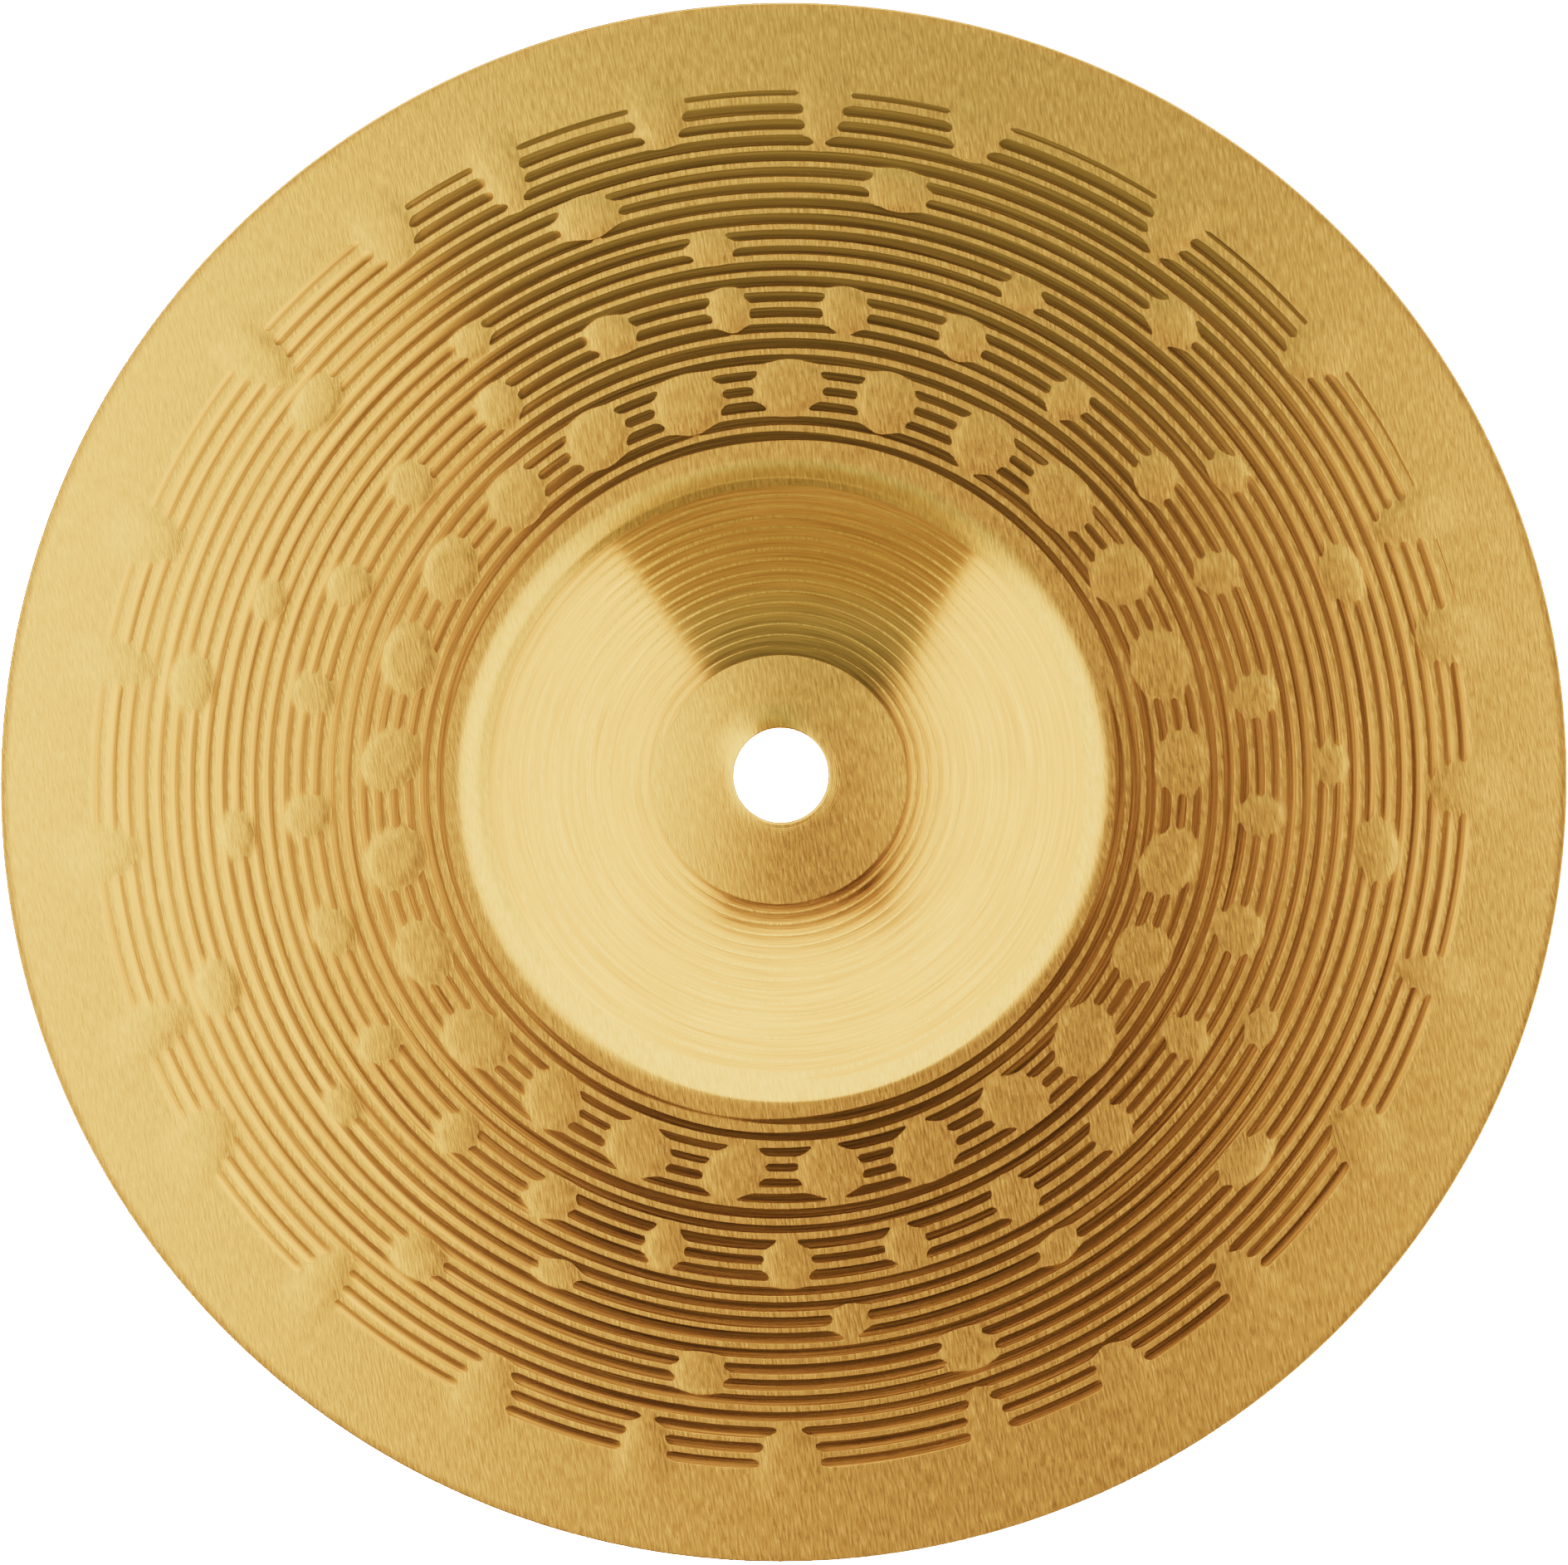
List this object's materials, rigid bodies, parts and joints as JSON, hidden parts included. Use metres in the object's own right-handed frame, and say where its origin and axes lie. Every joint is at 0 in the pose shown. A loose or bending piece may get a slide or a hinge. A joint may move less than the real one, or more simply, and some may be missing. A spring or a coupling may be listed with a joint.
{
  "type": "splash cymbal",
  "caption": "Small, thin sheet-brass cymbal with a shallow bow, a domed bell and a plain centre hole for a stand's rod.",
  "frame": {"origin": "centre of the circle that the rim stands on, on the axis of the hole", "axes": "+Z along the hole's axis, from the rim towards the bell; X and Y are alike, because the cymbal is round"},
  "size_m": [0.2032, 0.2032, 0.0214],
  "materials": {
    "brass": "satin sheet brass, lathed in a spiral on the bow and the bell, bare rolled grain at the rim, the crown and the hammer marks"
  },
  "bodies": {
    "root": {"cymbal": "brass"}
  },
  "joints": []
}
